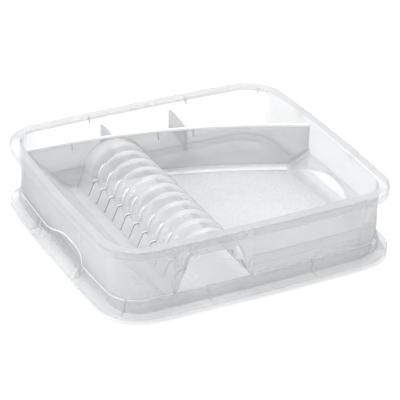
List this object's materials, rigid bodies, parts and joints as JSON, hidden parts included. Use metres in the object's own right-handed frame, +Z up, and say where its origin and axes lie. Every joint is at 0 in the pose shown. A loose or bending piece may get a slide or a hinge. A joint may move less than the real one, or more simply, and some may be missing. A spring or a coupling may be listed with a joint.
{
  "type": "dish drying rack",
  "caption": "Clear plastic dish drying rack: a basket with a ribbed plate rack, an open basin and a cutlery bay, standing on a drip tray.",
  "frame": {"origin": "on the ground, at the middle of the plan", "axes": "+X to the right along the long side, +Y from the front to the cutlery bay at the back, +Z up"},
  "size_m": [0.4608, 0.4308, 0.11],
  "materials": {
    "basket_clear": "clear polypropylene with a faint haze, moulded gloss",
    "tray_clear": "clear polypropylene with a faint haze, slightly greyer than the basket"
  },
  "bodies": {
    "tray": {"tray_flange": "tray_clear", "tray_floor": "tray_clear", "tray_grip_left": "tray_clear", "tray_grip_right": "tray_clear", "tray_ribs": "tray_clear", "tray_seat_back": "tray_clear", "tray_seat_front": "tray_clear", "tray_wall": "tray_clear"},
    "drainer": {"basin_cove": "basket_clear", "basin_floor": "basket_clear", "basket_wall": "basket_clear", "cutlery_floor_left": "basket_clear", "cutlery_floor_middle": "basket_clear", "cutlery_floor_right": "basket_clear", "cutlery_partition": "basket_clear", "divider_left": "basket_clear", "divider_right": "basket_clear", "drainer_rim": "basket_clear", "partition_bead": "basket_clear", "partition_ribs": "basket_clear", "rack_end_back": "basket_clear", "rack_end_front": "basket_clear", "rack_flank_left": "basket_clear", "rack_flank_right": "basket_clear", "rack_rib_01": "basket_clear", "rack_rib_02": "basket_clear", "rack_rib_03": "basket_clear", "rack_rib_04": "basket_clear", "rack_rib_05": "basket_clear", "rack_rib_06": "basket_clear", "rack_rib_07": "basket_clear", "rack_rib_08": "basket_clear", "rack_rib_09": "basket_clear", "rack_rib_10": "basket_clear", "rim_ribs": "basket_clear", "trough_floor": "basket_clear", "trough_slope": "basket_clear"}
  },
  "joints": [
    {"name": "drainer_lift", "type": "slide", "parent": "tray", "child": "drainer", "axis": [0, 0, 1], "range_m": [0, 0.15]}
  ]
}
